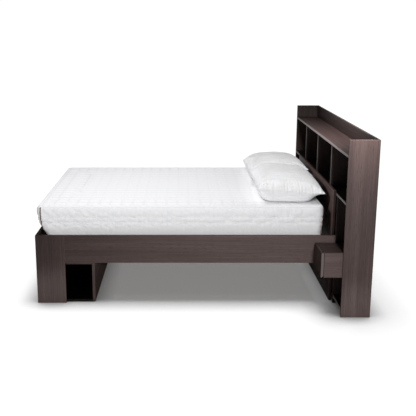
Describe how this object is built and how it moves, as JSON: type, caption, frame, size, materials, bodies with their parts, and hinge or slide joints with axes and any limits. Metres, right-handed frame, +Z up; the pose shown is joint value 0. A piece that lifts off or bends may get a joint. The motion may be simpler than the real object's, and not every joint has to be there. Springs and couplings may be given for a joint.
{
  "type": "platform storage bed",
  "caption": "Dark platform bed with a bookcase headboard of open cubbies, nightstand drawers in its side bays, an open storage box at the foot, a quilted mattress and pillows.",
  "frame": {"origin": "on the floor, under the middle of the footprint", "axes": "+X across the bed to the right seen from the foot, +Y from the foot to the head, +Z up"},
  "size_m": [2.21, 2.308, 1.215],
  "materials": {
    "espresso_laminate": "satin dark brown wood-grain laminate",
    "drawer_board": "plain laminated drawer board",
    "pine": "planed softwood",
    "zinc_steel": "zinc-plated sheet",
    "mattress_ticking": "white quilted knit ticking",
    "pillow_cotton": "white cotton"
  },
  "bodies": {
    "bed_frame": {"backrest_panel": "espresso_laminate", "beam_hanger": "zinc_steel", "centre_beam": "pine", "cubby_divider_1": "espresso_laminate", "cubby_divider_2": "espresso_laminate", "cubby_divider_3": "espresso_laminate", "foot_box_divider": "espresso_laminate", "foot_box_floor": "espresso_laminate", "foot_box_top": "espresso_laminate", "foot_box_wall": "espresso_laminate", "footboard": "espresso_laminate", "headboard_back": "espresso_laminate", "headboard_bottom_board": "espresso_laminate", "headboard_centre_rib": "espresso_laminate", "headboard_long_shelf": "espresso_laminate", "headboard_top_shelf": "espresso_laminate", "left_bay_shelf": "espresso_laminate", "left_drawer_runners": "zinc_steel", "left_foot_post": "espresso_laminate", "left_headboard_end": "espresso_laminate", "left_headboard_upright": "espresso_laminate", "left_nightstand_bottom": "espresso_laminate", "left_nightstand_inner_side": "espresso_laminate", "left_nightstand_outer_side": "espresso_laminate", "left_nightstand_top": "espresso_laminate", "left_rail_cleat": "pine", "left_side_rail": "espresso_laminate", "rail_joint_plates": "zinc_steel", "right_bay_shelf": "espresso_laminate", "right_drawer_runners": "zinc_steel", "right_foot_post": "espresso_laminate", "right_headboard_end": "espresso_laminate", "right_headboard_upright": "espresso_laminate", "right_nightstand_bottom": "espresso_laminate", "right_nightstand_inner_side": "espresso_laminate", "right_nightstand_outer_side": "espresso_laminate", "right_nightstand_top": "espresso_laminate", "right_rail_cleat": "pine", "right_side_rail": "espresso_laminate", "slats": "pine"},
    "right_drawer": {"right_drawer_front": "espresso_laminate", "right_drawer_inner_side": "drawer_board", "right_drawer_outer_side": "drawer_board", "right_drawer_back": "drawer_board", "right_drawer_bottom": "drawer_board", "right_drawer_slides": "zinc_steel"},
    "left_drawer": {"left_drawer_front": "espresso_laminate", "left_drawer_inner_side": "drawer_board", "left_drawer_outer_side": "drawer_board", "left_drawer_back": "drawer_board", "left_drawer_bottom": "drawer_board", "left_drawer_slides": "zinc_steel"},
    "mattress": {"mattress": "mattress_ticking"},
    "right_pillow": {"right_pillow": "pillow_cotton"},
    "left_pillow": {"left_pillow": "pillow_cotton"}
  },
  "joints": [
    {"name": "right_drawer_slide", "type": "slide", "parent": "bed_frame", "child": "right_drawer", "axis": [0, -1, 0], "range_m": [0, 0.24]},
    {"name": "left_drawer_slide", "type": "slide", "parent": "bed_frame", "child": "left_drawer", "axis": [0, -1, 0], "range_m": [0, 0.24]},
    {"name": "mattress_lift", "type": "slide", "parent": "bed_frame", "child": "mattress", "axis": [0, 0, 1], "range_m": [0, 0.8]},
    {"name": "right_pillow_lift", "type": "slide", "parent": "mattress", "child": "right_pillow", "axis": [0, 0, 1], "range_m": [0, 0.55]},
    {"name": "left_pillow_lift", "type": "slide", "parent": "mattress", "child": "left_pillow", "axis": [0, 0, 1], "range_m": [0, 0.55]}
  ]
}
